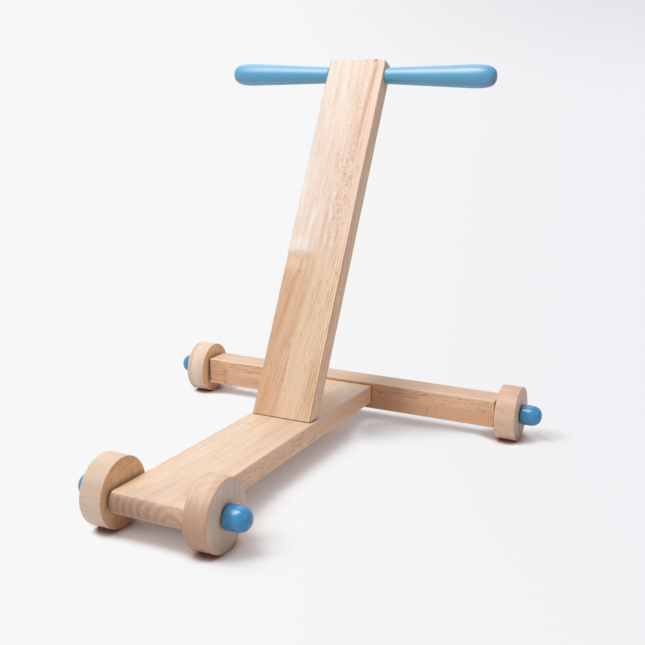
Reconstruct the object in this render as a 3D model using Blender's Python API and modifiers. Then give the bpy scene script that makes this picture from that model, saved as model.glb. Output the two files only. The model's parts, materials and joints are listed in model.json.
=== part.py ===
# Baby push walker: a raked post with two turned grips on a T-shaped wooden chassis with four wheels.
# Metres, +Z up, +Y from the deck's round nose towards the crossbar.
# The origin is on the floor, midway between the front of the front wheels and the back of the rear ones.
import bpy
import bmesh
from math import atan, cos, pi, radians, sin, tan
from mathutils import Matrix

# Clearances
FIT_GAP = 0.0003            # between pieces that are glued, pressed or seated
RUN_GAP = 0.0004            # wheel bore round its axle, on the radius
SIDE_PLAY = 0.0003          # between a wheel and the washers beside it

# Deck
DECK_LENGTH = 0.458
DECK_WIDTH = 0.086
DECK_THICKNESS = 0.024
DECK_EDGE_RADIUS = 0.0015
DECK_NOSE_DEPTH = 0.006     # how far the round nose swells past its top and bottom edges
FRONT_AXLE_INSET = 0.030    # front axle, from the tip of the nose

# Crossbar
BAR_LENGTH = 0.426
BAR_DEPTH = 0.040
BAR_HEIGHT = 0.036
BAR_EDGE_RADIUS = 0.0015

# Post
POST_LENGTH = 0.474         # along its front face
POST_WIDTH = 0.078
POST_THICKNESS = 0.022
POST_EDGE_RADIUS = 0.0015
POST_CORNER_RADIUS = 0.004  # top corners, seen from the front
POST_LEAN = radians(25.8)   # from upright, towards the crossbar
POST_SETBACK = 0.182        # foot of its front face, from the deck's far end

# Handle
HANDLE_DROP = 0.018         # handle axis below the post's top end
GRIP_LENGTH = 0.144
GRIP_NECK_RADIUS = 0.0104
GRIP_SWELL_RADIUS = 0.0144
GRIP_END_LENGTH = 0.030     # from the fullest section to the tip
GRIP_END_POWER = 3.2        # 2 is an elliptical end, more is blunter
GRIP_NECK_ROUND = 0.0015
GRIP_SOCKET_DEPTH = 0.032
HANDLE_DOWEL_RADIUS = 0.006

# Wheels and what holds them
FRONT_WHEEL_RADIUS = 0.0375
REAR_WHEEL_RADIUS = 0.035
WHEEL_WIDTH = 0.0262
WHEEL_EDGE_RADIUS = 0.0012
AXLE_RADIUS = 0.004
AXLE_CHAMFER = 0.0006
STUB_AXLE_DEPTH = 0.050     # length of a rear axle inside the crossbar
WASHER_RADIUS = 0.009
INNER_WASHER_THICKNESS = 0.0028     # spaces the wheel from the board
OUTER_WASHER_THICKNESS = 0.0008
CAP_RADIUS = 0.0131
CAP_LENGTH = 0.0254
CAP_BASE_ROUND = 0.0012
CAP_DOME_LENGTH = 0.0145
CAP_DOME_POWER = 2.4
CAP_SOCKET_DEPTH = 0.015

# Screws and dowels
SCREW_HEAD_RADIUS = 0.0045
SCREW_HEAD_LENGTH = 0.004
SCREW_SHANK_RADIUS = 0.0025
SCREW_TIP_LENGTH = 0.004
SCREW_SOCKET_RADIUS = 0.0023    # hexagon, across corners
SCREW_SOCKET_DEPTH = 0.0025
SCREW_RECESS = 0.003        # head below the face it is driven through
POST_SCREW_INSET = 0.020    # from the post's side to a screw's axis
POST_SCREW_REACH = 0.036    # length of a post screw inside the post
BAR_SCREW_INSET = 0.028     # from the deck's side to a screw's axis
BAR_SCREW_REACH = 0.040     # length of a crossbar screw inside the deck
DOWEL_RADIUS = 0.004
DOWEL_CHAMFER = 0.001
BAR_DOWEL_INSET = 0.013     # from the deck's side to a dowel's axis
BAR_DOWEL_REACH = 0.020     # length of a dowel in each of the two boards
CUT_MARGIN = 0.004          # how far a cutter stands out of the face it enters by

# Fineness of round shapes
WHEEL_STEPS = 48
GRIP_STEPS = 32
CAP_STEPS = 24
SMALL_STEPS = 20
EDGE_SEGMENTS = 3
NOSE_SEGMENTS = 10
DOME_SEGMENTS = 8

# Working values
MERGE_DISTANCE = 0.00001
FLAT_ANGLE = radians(0.5)   # faces closer than this are one face
SHARP_ANGLE = radians(32)   # edges sharper than this are eased
MARKER_SIZE = 0.02

# Looks: linear colour, roughness, metallic
POST_WOOD = ((0.76, 0.56, 0.40, 1.0), 0.55, 0.0)
BOARD_WOOD = ((0.68, 0.46, 0.29, 1.0), 0.55, 0.0)
WHEEL_WOOD = ((0.64, 0.44, 0.30, 1.0), 0.55, 0.0)
DOWEL_WOOD = ((0.70, 0.52, 0.34, 1.0), 0.6, 0.0)
GRIP_PAINT = ((0.13, 0.37, 0.60, 1.0), 0.35, 0.0)
CAP_PAINT = ((0.06, 0.26, 0.48, 1.0), 0.3, 0.0)
BLACK_NYLON = ((0.02, 0.02, 0.022, 1.0), 0.5, 0.0)
ZINC_STEEL = ((0.55, 0.55, 0.56, 1.0), 0.3, 1.0)

# Derived places
WHEELBASE = BAR_DEPTH / 2 + FIT_GAP + DECK_LENGTH - FRONT_AXLE_INSET
REAR_AXLE_Y = (WHEELBASE + FRONT_WHEEL_RADIUS - REAR_WHEEL_RADIUS) / 2
FRONT_AXLE_Y = REAR_AXLE_Y - WHEELBASE
BAR_FRONT_Y = REAR_AXLE_Y - BAR_DEPTH / 2
DECK_FAR_Y = BAR_FRONT_Y - FIT_GAP
DECK_NEAR_Y = DECK_FAR_Y - DECK_LENGTH
DECK_MID_Z = FRONT_WHEEL_RADIUS
DECK_TOP_Z = DECK_MID_Z + DECK_THICKNESS / 2
POST_FOOT_Y = DECK_FAR_Y - POST_SETBACK
HANDLE_AXIS_Z = POST_LENGTH - HANDLE_DROP           # along the post

# Stack on an axle, outwards from the board's side
INNER_WASHER_AT = FIT_GAP
WHEEL_AT = INNER_WASHER_AT + INNER_WASHER_THICKNESS + SIDE_PLAY
OUTER_WASHER_AT = WHEEL_AT + WHEEL_WIDTH + SIDE_PLAY
CAP_AT = OUTER_WASHER_AT + OUTER_WASHER_THICKNESS + FIT_GAP
AXLE_END_AT = CAP_AT + CAP_SOCKET_DEPTH - FIT_GAP

SIDES = {"left": -1, "right": 1}


def clear_scene():
    for obj in list(bpy.data.objects):
        bpy.data.objects.remove(obj, do_unlink=True)


def new_collection(name):
    collection = bpy.data.collections.new(name)
    bpy.context.scene.collection.children.link(collection)
    return collection


def material(name, colour, roughness, metallic):
    mat = bpy.data.materials.new(name)
    mat.use_nodes = True
    shader = mat.node_tree.nodes["Principled BSDF"]
    shader.inputs["Base Color"].default_value = colour
    shader.inputs["Roughness"].default_value = roughness
    shader.inputs["Metallic"].default_value = metallic
    mat.diffuse_color = colour
    return mat


def empty(name, location, rotation=(0, 0, 0), parent=None):
    obj = bpy.data.objects.new(name, None)
    obj.empty_display_size = MARKER_SIZE
    obj.location = location
    obj.rotation_euler = rotation
    obj.parent = parent
    PARTS.objects.link(obj)
    return obj


def part(name, mesh, look, parent, location=(0, 0, 0), rotation=(0, 0, 0)):
    mesh.materials.append(material(name, *look))
    obj = bpy.data.objects.new(name, mesh)
    obj.parent = parent
    obj.location = location
    obj.rotation_euler = rotation
    PARTS.objects.link(obj)
    return obj


def outline_mesh(name, points, thickness):
    # An outline in (Y, Z), drawn as a filled 2D curve, made a slab that is centred on X
    curve = bpy.data.curves.new(name, "CURVE")
    curve.dimensions = "2D"
    curve.fill_mode = "BOTH"
    curve.extrude = thickness / 2
    spline = curve.splines.new("POLY")
    spline.points.add(len(points) - 1)
    for point, (y, z) in zip(spline.points, points):
        point.co = (y, z, 0, 1)
    spline.use_cyclic_u = True
    drawing = bpy.data.objects.new(name, curve)
    bpy.context.scene.collection.objects.link(drawing)
    graph = bpy.context.evaluated_depsgraph_get()
    mesh = bpy.data.meshes.new_from_object(drawing.evaluated_get(graph))
    bpy.data.objects.remove(drawing, do_unlink=True)
    bm = bmesh.new()
    bm.from_mesh(mesh)
    bmesh.ops.remove_doubles(bm, verts=bm.verts, dist=MERGE_DISTANCE)
    bmesh.ops.dissolve_limit(bm, angle_limit=FLAT_ANGLE, verts=bm.verts, edges=bm.edges)
    bmesh.ops.recalc_face_normals(bm, faces=bm.faces)
    bm.to_mesh(mesh)
    bm.free()
    mesh.transform(Matrix(((0, 0, 1, 0), (1, 0, 0, 0), (0, 1, 0, 0), (0, 0, 0, 1))))
    mesh.materials.clear()
    return mesh


def box_mesh(name, size):
    mesh = bpy.data.meshes.new(name)
    bm = bmesh.new()
    bmesh.ops.create_cube(bm, size=1.0)
    bmesh.ops.scale(bm, vec=size, verts=bm.verts)
    bm.to_mesh(mesh)
    bm.free()
    return mesh


def round_edges(obj, radius, picked):
    # Rounds the edges for which picked(end, other_end) holds
    mesh = obj.data
    weights = mesh.attributes.new("bevel_weight_edge", "FLOAT", "EDGE")
    for edge in mesh.edges:
        ends = [mesh.vertices[index].co for index in edge.vertices]
        weights.data[edge.index].value = 1.0 if picked(*ends) else 0.0
    bevel = obj.modifiers.new("rounded_edges", "BEVEL")
    bevel.limit_method = "WEIGHT"
    bevel.width = radius
    bevel.segments = EDGE_SEGMENTS


def ease_sharp_edges(obj, radius):
    bevel = obj.modifiers.new("eased_edges", "BEVEL")
    bevel.limit_method = "ANGLE"
    bevel.angle_limit = SHARP_ANGLE
    bevel.width = radius
    bevel.segments = EDGE_SEGMENTS


def cylinder_cutter(name, radius, low, high, parent, location=(0, 0, 0), rotation=(0, 0, 0),
                    sides=SMALL_STEPS):
    # Runs from low to high along its own Z
    mesh = bpy.data.meshes.new(name)
    bm = bmesh.new()
    place = Matrix.Translation((0, 0, (low + high) / 2))
    bmesh.ops.create_cone(bm, cap_ends=True, segments=sides, radius1=radius, radius2=radius,
                          depth=high - low, matrix=place)
    bm.to_mesh(mesh)
    bm.free()
    obj = bpy.data.objects.new(name, mesh)
    obj.parent = parent
    obj.location = location
    obj.rotation_euler = rotation
    obj.hide_render = True
    obj.display_type = "WIRE"
    CUTTERS.objects.link(obj)
    return obj


def cut(obj, cutter):
    boolean = obj.modifiers.new(cutter.name, "BOOLEAN")
    boolean.operation = "DIFFERENCE"
    boolean.solver = "EXACT"
    boolean.object = cutter


def turned(name, profile, look, parent, steps, closed=False, location=(0, 0, 0), rotation=(0, 0, 0)):
    # Turns a profile of (radius, height) points about its own Z; it runs down the outer side
    mesh = bpy.data.meshes.new(name)
    edges = [(i, i + 1) for i in range(len(profile) - 1)]
    if closed:
        edges.append((len(profile) - 1, 0))
    mesh.from_pydata([(radius, 0, height) for radius, height in profile], edges, [])
    half_step = Matrix.Rotation(pi / steps, 4, "Z")     # a flat, not a corner, faces down
    mesh.transform(half_step)
    obj = part(name, mesh, look, parent, location, rotation)
    screw = obj.modifiers.new("turned", "SCREW")
    screw.axis = "Z"
    screw.angle = 2 * pi
    screw.steps = steps
    screw.render_steps = steps
    screw.use_merge_vertices = True
    screw.merge_threshold = MERGE_DISTANCE
    screw.use_smooth_shade = True
    return obj


def arc(centre_r, centre_h, radius, start, end, segments):
    # Points of (radius, height) on an arc; angles from the outward direction, up is positive
    angles = [start + (end - start) * i / segments for i in range(segments + 1)]
    return [(centre_r + radius * cos(a), centre_h + radius * sin(a)) for a in angles]


def dome(radius, base, length, power):
    # Blunt end from its tip down to its full radius at base
    points = [(0.0, base + length)]
    for i in range(1, DOME_SEGMENTS + 1):
        angle = pi / 2 * (1 - i / DOME_SEGMENTS)
        points.append((radius * cos(angle) ** (2 / power), base + length * sin(angle) ** (2 / power)))
    return points


def rod_profile(radius, low, high, chamfer):
    return [(0.0, high), (radius - chamfer, high), (radius, high - chamfer),
            (radius, low + chamfer), (radius - chamfer, low), (0.0, low)]


def ring_profile(inner, outer, low, high):
    return [(inner, high), (outer, high), (outer, low), (inner, low)]


def make_deck():
    half = DECK_THICKNESS / 2
    nose_radius = (half ** 2 + DECK_NOSE_DEPTH ** 2) / (2 * DECK_NOSE_DEPTH)
    half_angle = 2 * atan(DECK_NOSE_DEPTH / half)
    outline = [(DECK_FAR_Y, DECK_MID_Z - half), (DECK_FAR_Y, DECK_MID_Z + half)]
    for i in range(NOSE_SEGMENTS + 1):
        angle = half_angle * (1 - 2 * i / NOSE_SEGMENTS)
        outline.append((DECK_NEAR_Y + nose_radius * (1 - cos(angle)), DECK_MID_Z + nose_radius * sin(angle)))
    mesh = outline_mesh("deck_board", outline, DECK_WIDTH)
    deck = part("deck_board", mesh, BOARD_WOOD, WALKER)

    crease_y = DECK_NEAR_Y + DECK_NOSE_DEPTH    # where the top and the underside meet the nose

    def on_rim_or_crease(a, b):
        on_rim = abs(a.x - b.x) < DECK_WIDTH / 2
        at_far_end = min(a.y, b.y) > DECK_FAR_Y - DECK_EDGE_RADIUS
        on_crease = max(abs(a.y - crease_y), abs(b.y - crease_y)) < MERGE_DISTANCE
        return on_crease or on_rim and not at_far_end

    round_edges(deck, DECK_EDGE_RADIUS, on_rim_or_crease)
    across = (0, pi / 2, 0)
    cut(deck, cylinder_cutter("deck_axle_bore", AXLE_RADIUS + FIT_GAP, -DECK_WIDTH / 2 - CUT_MARGIN,
                              DECK_WIDTH / 2 + CUT_MARGIN, WALKER, (0, FRONT_AXLE_Y, DECK_MID_Z), across))
    return deck


def make_bar():
    mesh = box_mesh("crossbar", (BAR_LENGTH, BAR_DEPTH, BAR_HEIGHT))
    bar = part("crossbar", mesh, BOARD_WOOD, WALKER, (0, REAR_AXLE_Y, REAR_WHEEL_RADIUS))
    round_edges(bar, BAR_EDGE_RADIUS, lambda a, b: True)
    return bar


def make_post():
    rise = POST_THICKNESS * tan(POST_LEAN)      # the foot is cut level, so the back is shorter
    outline = [(0, 0), (POST_THICKNESS, rise), (POST_THICKNESS, POST_LENGTH), (0, POST_LENGTH)]
    post = part("post", outline_mesh("post", outline, POST_WIDTH), POST_WOOD, POST_FRAME)

    def on_top_corner(a, b):
        same_side = abs(a.x - b.x) < POST_WIDTH / 2
        return same_side and min(a.z, b.z) > POST_LENGTH - POST_CORNER_RADIUS

    round_edges(post, POST_CORNER_RADIUS, on_top_corner)
    ease_sharp_edges(post, POST_EDGE_RADIUS)
    cut(post, cylinder_cutter("post_handle_bore", HANDLE_DOWEL_RADIUS + FIT_GAP, -POST_WIDTH / 2 - CUT_MARGIN,
                              POST_WIDTH / 2 + CUT_MARGIN, HANDLE_FRAME, rotation=(0, pi / 2, 0)))
    return post


def make_handle():
    reach = POST_WIDTH / 2 + GRIP_SOCKET_DEPTH
    turned("handle_dowel", rod_profile(HANDLE_DOWEL_RADIUS, -reach, reach, DOWEL_CHAMFER),
           DOWEL_WOOD, HANDLE_FRAME, SMALL_STEPS, rotation=(0, pi / 2, 0))
    swell_at = GRIP_LENGTH - GRIP_END_LENGTH
    profile = dome(GRIP_SWELL_RADIUS, swell_at, GRIP_END_LENGTH, GRIP_END_POWER)
    neck = GRIP_NECK_RADIUS - GRIP_NECK_ROUND
    profile += arc(neck, GRIP_NECK_ROUND, GRIP_NECK_ROUND, 0, -pi / 2, EDGE_SEGMENTS)
    socket = HANDLE_DOWEL_RADIUS + FIT_GAP
    profile += [(socket, 0), (socket, GRIP_SOCKET_DEPTH), (0, GRIP_SOCKET_DEPTH)]
    for name, side in SIDES.items():
        turned(name + "_grip", profile, GRIP_PAINT, HANDLE_FRAME, GRIP_STEPS,
               location=(side * (POST_WIDTH / 2 + FIT_GAP), 0, 0), rotation=(0, side * pi / 2, 0))


def wheel_profile(radius):
    bore = AXLE_RADIUS + RUN_GAP
    low, high = WHEEL_AT, WHEEL_AT + WHEEL_WIDTH
    rim = radius - WHEEL_EDGE_RADIUS
    return ([(bore, high)]
            + arc(rim, high - WHEEL_EDGE_RADIUS, WHEEL_EDGE_RADIUS, pi / 2, 0, EDGE_SEGMENTS)
            + arc(rim, low + WHEEL_EDGE_RADIUS, WHEEL_EDGE_RADIUS, 0, -pi / 2, EDGE_SEGMENTS)
            + [(bore, low)])


def cap_profile():
    body = CAP_LENGTH - CAP_DOME_LENGTH
    socket = AXLE_RADIUS + FIT_GAP
    profile = dome(CAP_RADIUS, CAP_AT + body, CAP_DOME_LENGTH, CAP_DOME_POWER)
    foot = CAP_RADIUS - CAP_BASE_ROUND
    profile += arc(foot, CAP_AT + CAP_BASE_ROUND, CAP_BASE_ROUND, 0, -pi / 2, EDGE_SEGMENTS)
    bottom = CAP_AT + CAP_SOCKET_DEPTH
    return profile + [(socket, CAP_AT), (socket, bottom), (0, bottom)]


def make_wheel_set(name, hub, radius):
    # The hub stands on the axle at the board's side, with its Z outwards
    turned(name + "_wheel", wheel_profile(radius), WHEEL_WOOD, hub, WHEEL_STEPS, closed=True)
    washer_bore = AXLE_RADIUS + FIT_GAP
    for place, low, thickness in (("inner", INNER_WASHER_AT, INNER_WASHER_THICKNESS),
                                  ("outer", OUTER_WASHER_AT, OUTER_WASHER_THICKNESS)):
        ring = ring_profile(washer_bore, WASHER_RADIUS, low, low + thickness)
        turned(name + "_" + place + "_washer", ring, BLACK_NYLON, hub, SMALL_STEPS, closed=True)
    turned(name + "_cap", cap_profile(), CAP_PAINT, hub, CAP_STEPS)


def make_running_gear(bar):
    for name, side in SIDES.items():
        turn = (0, side * pi / 2, 0)
        front_hub = empty("front_" + name + "_hub", (side * DECK_WIDTH / 2, FRONT_AXLE_Y, FRONT_WHEEL_RADIUS),
                          turn, WALKER)
        make_wheel_set("front_" + name, front_hub, FRONT_WHEEL_RADIUS)
        rear_hub = empty("rear_" + name + "_hub", (side * BAR_LENGTH / 2, REAR_AXLE_Y, REAR_WHEEL_RADIUS),
                         turn, WALKER)
        make_wheel_set("rear_" + name, rear_hub, REAR_WHEEL_RADIUS)
        turned("rear_" + name + "_axle", rod_profile(AXLE_RADIUS, -STUB_AXLE_DEPTH, AXLE_END_AT, AXLE_CHAMFER),
               ZINC_STEEL, rear_hub, SMALL_STEPS)
        cut(bar, cylinder_cutter("bar_axle_bore_" + name, AXLE_RADIUS + FIT_GAP, -STUB_AXLE_DEPTH - FIT_GAP,
                                 CUT_MARGIN, rear_hub))
    reach = DECK_WIDTH / 2 + AXLE_END_AT
    rod = rod_profile(AXLE_RADIUS, -reach, reach, AXLE_CHAMFER)
    turned("front_axle", rod, ZINC_STEEL, WALKER, SMALL_STEPS,
           location=(0, FRONT_AXLE_Y, FRONT_WHEEL_RADIUS), rotation=(0, pi / 2, 0))


def make_screw(name, seat, tip, parent, location, rotation):
    # Head outwards along its own Z, from the seat of the head down to the tip
    top = seat + SCREW_HEAD_LENGTH
    profile = [(0.0, top), (SCREW_HEAD_RADIUS, top), (SCREW_HEAD_RADIUS, seat), (SCREW_SHANK_RADIUS, seat),
               (SCREW_SHANK_RADIUS, tip + SCREW_TIP_LENGTH), (0.0, tip)]
    screw = turned(name, profile, ZINC_STEEL, parent, SMALL_STEPS, location=location, rotation=rotation)
    cut(screw, cylinder_cutter(name + "_socket", SCREW_SOCKET_RADIUS, top - SCREW_SOCKET_DEPTH,
                               top + CUT_MARGIN, parent, location, rotation, sides=6))


def drill_for_screw(name, carrier, receiver, seat, face, tip, parent, location, rotation):
    # A clear hole with a counterbore in the carrier and a blind hole in the receiver
    hole = cylinder_cutter(name + "_hole", SCREW_SHANK_RADIUS + FIT_GAP, tip - FIT_GAP, face + CUT_MARGIN,
                           parent, location, rotation)
    counterbore = cylinder_cutter(name + "_counterbore", SCREW_HEAD_RADIUS + FIT_GAP, seat - FIT_GAP,
                                  face + CUT_MARGIN, parent, location, rotation)
    cut(carrier, counterbore)
    cut(carrier, hole)
    cut(receiver, hole)


def fasten_post(deck, post):
    # The screws run up the middle of the post's thickness, so their heads lie in slanting counterbores
    middle = POST_THICKNESS / 2
    foot = middle * tan(POST_LEAN)              # where that line leaves the deck's top
    face = DECK_THICKNESS / cos(POST_LEAN) - foot
    shallow_side = (SCREW_HEAD_RADIUS + FIT_GAP) * tan(POST_LEAN)
    seat = face - SCREW_RECESS - SCREW_HEAD_LENGTH
    tip = -foot - POST_SCREW_REACH
    down = (pi, 0, 0)
    for name, side in SIDES.items():
        place = (side * (POST_WIDTH / 2 - POST_SCREW_INSET), middle, 0)
        screw = "post_screw_" + name
        drill_for_screw(screw, deck, post, seat, face + shallow_side, tip, POST_FRAME, place, down)
        make_screw(screw, seat, tip, POST_FRAME, place, down)


def fasten_bar(deck, bar):
    face = BAR_DEPTH
    seat = face - SCREW_RECESS - SCREW_HEAD_LENGTH
    tip = -FIT_GAP - BAR_SCREW_REACH
    back = (-pi / 2, 0, 0)                      # own Z runs backwards, out of the bar
    for name, side in SIDES.items():
        place = (side * (DECK_WIDTH / 2 - BAR_SCREW_INSET), BAR_FRONT_Y, DECK_MID_Z)
        screw = "crossbar_screw_" + name
        drill_for_screw(screw, bar, deck, seat, face, tip, WALKER, place, back)
        make_screw(screw, seat, tip, WALKER, place, back)
        place = (side * (DECK_WIDTH / 2 - BAR_DOWEL_INSET), BAR_FRONT_Y - FIT_GAP / 2, DECK_MID_Z)
        dowel = "crossbar_dowel_" + name
        turned(dowel, rod_profile(DOWEL_RADIUS, -BAR_DOWEL_REACH, BAR_DOWEL_REACH, DOWEL_CHAMFER),
               DOWEL_WOOD, WALKER, SMALL_STEPS, location=place, rotation=back)
        socket = BAR_DOWEL_REACH + FIT_GAP
        hole = cylinder_cutter(dowel + "_hole", DOWEL_RADIUS + FIT_GAP, -socket, socket, WALKER, place, back)
        cut(bar, hole)
        cut(deck, hole)


clear_scene()
PARTS = new_collection("baby_push_walker")
CUTTERS = new_collection("cutters")
WALKER = empty("walker", (0, 0, 0))
POST_FRAME = empty("post_foot", (0, POST_FOOT_Y, DECK_TOP_Z + FIT_GAP), (-POST_LEAN, 0, 0), WALKER)
HANDLE_FRAME = empty("handle_axis", (0, POST_THICKNESS / 2, HANDLE_AXIS_Z), parent=POST_FRAME)

deck_board = make_deck()
crossbar = make_bar()
post_board = make_post()
make_handle()
make_running_gear(crossbar)
fasten_post(deck_board, post_board)
fasten_bar(deck_board, crossbar)
bpy.context.view_layer.update()
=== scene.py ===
import json
from math import cos, pi, radians, sin
import bmesh
import bpy
from mathutils import Matrix, Vector


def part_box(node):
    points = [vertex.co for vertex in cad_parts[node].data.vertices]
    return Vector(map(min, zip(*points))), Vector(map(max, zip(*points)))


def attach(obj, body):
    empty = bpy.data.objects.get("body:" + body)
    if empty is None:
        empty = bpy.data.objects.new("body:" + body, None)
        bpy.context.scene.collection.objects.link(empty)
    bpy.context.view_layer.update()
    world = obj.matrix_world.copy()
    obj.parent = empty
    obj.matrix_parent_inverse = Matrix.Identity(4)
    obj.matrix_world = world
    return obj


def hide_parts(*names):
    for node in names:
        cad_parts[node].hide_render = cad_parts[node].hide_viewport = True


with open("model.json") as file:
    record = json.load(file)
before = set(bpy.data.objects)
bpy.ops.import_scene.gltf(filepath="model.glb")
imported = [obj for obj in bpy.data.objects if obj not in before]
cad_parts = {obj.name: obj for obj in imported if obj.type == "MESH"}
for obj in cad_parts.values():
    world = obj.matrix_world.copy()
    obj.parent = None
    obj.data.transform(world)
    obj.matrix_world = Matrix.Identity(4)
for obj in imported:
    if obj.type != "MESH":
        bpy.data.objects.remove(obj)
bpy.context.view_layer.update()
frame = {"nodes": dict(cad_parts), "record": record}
nodes = frame["nodes"]
mm = 0.001
print("frame loaded,", len(nodes), "nodes")


def bothWays(operation):  # a sign with the wire before it, and with the wire behind it
    return (lambda wire, other: wire.bench.sum(operation, wire, other),
            lambda wire, other: wire.bench.sum(operation, other, wire))


class Wire:  # a socket that can stand in a sum
    __add__, __radd__ = bothWays("ADD")
    __sub__, __rsub__ = bothWays("SUBTRACT")
    __mul__, __rmul__ = bothWays("MULTIPLY")
    __truediv__, __rtruediv__ = bothWays("DIVIDE")
    __pow__, __rpow__ = bothWays("POWER")

    def __init__(self, bench, socket):
        self.bench = bench
        self.socket = socket

    def twin(self, name):  # another output of the same node
        return Wire(self.bench, self.socket.node.outputs[name])

    def __abs__(self):
        return self.bench.sum("ABSOLUTE", self)


class Bench:  # builds one node tree
    def __init__(self, tree):
        self.tree = tree

    def add(self, kind, settings=None, sockets=None, out=0):
        node = self.tree.nodes.new(kind)
        for name, value in (settings or {}).items():
            setattr(node, name, value)
        for name, value in (sockets or {}).items():
            if isinstance(value, Wire):
                self.tree.links.new(value.socket, node.inputs[name])
            else:
                node.inputs[name].default_value = value
        return Wire(self, node.outputs[out] if node.outputs else None)

    def sum(self, operation, *values):
        return self.add("ShaderNodeMath", {"operation": operation}, dict(enumerate(values)))

    def clamp(self, value):
        return self.add("ShaderNodeMath", {"operation": "ADD", "use_clamp": True}, {0: value, 1: 0.0})

    def ease(self, value, start, end):  # 0 at start, 1 at end, soft between
        return self.add("ShaderNodeMapRange", {"interpolation_type": "SMOOTHSTEP"},
                        {"Value": value, "From Min": start, "From Max": end})

    def spot(self):  # place on the piece, in metres
        return self.add("ShaderNodeTexCoord", out="Object")

    def triple(self, x, y, z):
        return self.add("ShaderNodeCombineXYZ", None, {0: x, 1: y, 2: z})

    def parts(self, vector):
        split = self.add("ShaderNodeSeparateXYZ", None, {0: vector})
        return split, split.twin("Y"), split.twin("Z")

    def noise(self, vector, stretch, shift, detail=2.0, roughness=0.5):
        scaled = self.add("ShaderNodeVectorMath", {"operation": "MULTIPLY_ADD"},
                          {0: vector, 1: stretch, 2: shift})
        return self.add("ShaderNodeTexNoise", None,
                        {"Vector": scaled, "Scale": 1.0, "Detail": detail, "Roughness": roughness})

    def blend(self, factor, first, second, how="MIX"):
        return self.add("ShaderNodeMix", {"data_type": "RGBA", "blend_type": how},
                        {0: factor, 6: first, 7: second}, 2)

    def scale(self, colour, factor):
        return self.add("ShaderNodeVectorMath", {"operation": "SCALE"}, {0: colour, "Scale": factor})

    def dot(self, vector, line):
        return self.add("ShaderNodeVectorMath", {"operation": "DOT_PRODUCT"}, {0: vector, 1: line}, "Value")

    def length(self, vector):
        return self.add("ShaderNodeVectorMath", {"operation": "LENGTH"}, {0: vector}, "Value")

    def patch(self, u, v, centre, size, lean=0.0):  # a soft oval, 1 at its middle, leaning with v
        slid = u - v * lean if lean else u
        offset = (-(centre[0] - centre[1] * lean) / size[0], -centre[1] / size[1], 0.0)
        scaled = self.add("ShaderNodeVectorMath", {"operation": "MULTIPLY_ADD"},
                          {0: self.triple(slid, v, 0.0), 1: (1 / size[0], 1 / size[1], 0.0), 2: offset})
        return self.ease(self.length(scaled), 1.0, 0.0)

    def shelter(self, rays, reach, normal=None):  # 1 in the open, 0 where all is closed in
        towards = {"Normal": self.triple(*normal)} if normal else {}
        return self.add("ShaderNodeAmbientOcclusion", {"samples": rays}, {"Distance": reach} | towards, "AO")

    def bump(self, strength, depth, height):
        return self.add("ShaderNodeBump", None, {"Strength": strength, "Distance": depth, "Height": height})

    def feed(self, node, sockets):  # wires into a node that is there already
        for name, wire in sockets.items():
            self.tree.links.new(wire.socket, node.inputs[name])


def tint(red, green, blue):  # screen colour, 0 to 255, as a linear one
    return tuple(((c / 255 + 0.055) / 1.055) ** 2.4 for c in (red, green, blue)) + (1.0,)


def raised(value, least):  # 0 to 1 becomes least to 1
    return least + (1 - least) * value


def newLook(name, **fixed):
    look = bpy.data.materials.new(name)
    look.use_nodes = True
    shader = look.node_tree.nodes["Principled BSDF"]
    for socket, value in fixed.items():
        shader.inputs[socket.replace("_", " ")].default_value = value
    return look, Bench(look.node_tree), shader


# camera, fitted to the edges in the photograph
view = {"azimuth": 25.159, "elevation": 12.937, "roll": 1.124, "distance": 1.22969,
        "target": (0.0, 0.1364, 0.14543), "lens": 53.473, "sensor": 36.0}


def setCamera():
    azimuth, elevation, roll = (radians(view[key]) for key in ("azimuth", "elevation", "roll"))
    back = Vector((sin(azimuth) * cos(elevation), -cos(azimuth) * cos(elevation), sin(elevation)))
    right = Vector((cos(azimuth), sin(azimuth), 0.0))
    up = back.cross(right)
    turn = Matrix((right, up, back)).transposed() @ Matrix.Rotation(roll, 3, "Z")
    data = bpy.data.cameras.new("camera")
    data.sensor_width = view["sensor"]
    data.lens = view["lens"]
    camera = bpy.data.objects.new("camera", data)
    camera.matrix_world = Matrix.Translation(Vector(view["target"]) + back * view["distance"]) @ turn.to_4x4()
    bpy.context.collection.objects.link(camera)
    bpy.context.scene.camera = camera
    return right


# studio: paper floor under an even sky, lit from high up, from the front left, broadly from the back left and
# weakly from the right
studio = {
    "sky": 0.27, "paleLeft": tint(247, 247, 247), "paleRight": tint(241, 240, 244),
    "wallRight": tint(223, 222, 228), "wallRise": (0.0, 0.16), "sweep": (-0.12, 0.34), "sweepBack": 1.2,
    "floorRadius": 12.0, "floorSides": 96, "floorColour": tint(228, 226, 226),
    "gritColour": tint(238, 236, 235), "gritStretch": (90.0,) * 3, "gritDepth": 0.04,
    "farColour": tint(188, 186, 186), "lit": (0.50, 1.30), "fade": (0.34, 0.62),
}
shadow = {
    "shade": tint(190, 164, 152), "dusk": tint(244, 230, 226), "rays": 16,
    "reach": 0.11, "slant": (-0.24, -0.38, 0.89), "open": (0.40, 0.70), "tight": (0.10, 0.30), "veil": 0.36,
    "contact": 0.016, "touch": (0.35, 0.95),  # shorter than the bar is above the floor
    "barDepth": (0.12, 0.20), "barEnds": (0.215, 0.185), "barRelief": 0.19,
    "sideSlant": (-0.72, -0.12, 0.68), "sideOpen": (0.84, 0.50), "sideDepth": 0.66, "leeGain": 1.5,
    "lees": (  # where wheels and deck stand in the way of the left lamps: place, half size, extra depth
        ((0.100, -0.207), (0.08, 0.08), 0.0), ((0.276, 0.266), (0.05, 0.05), 0.22),
        ((0.100, 0.180), (0.12, 0.09), 0.10)),
}
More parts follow.
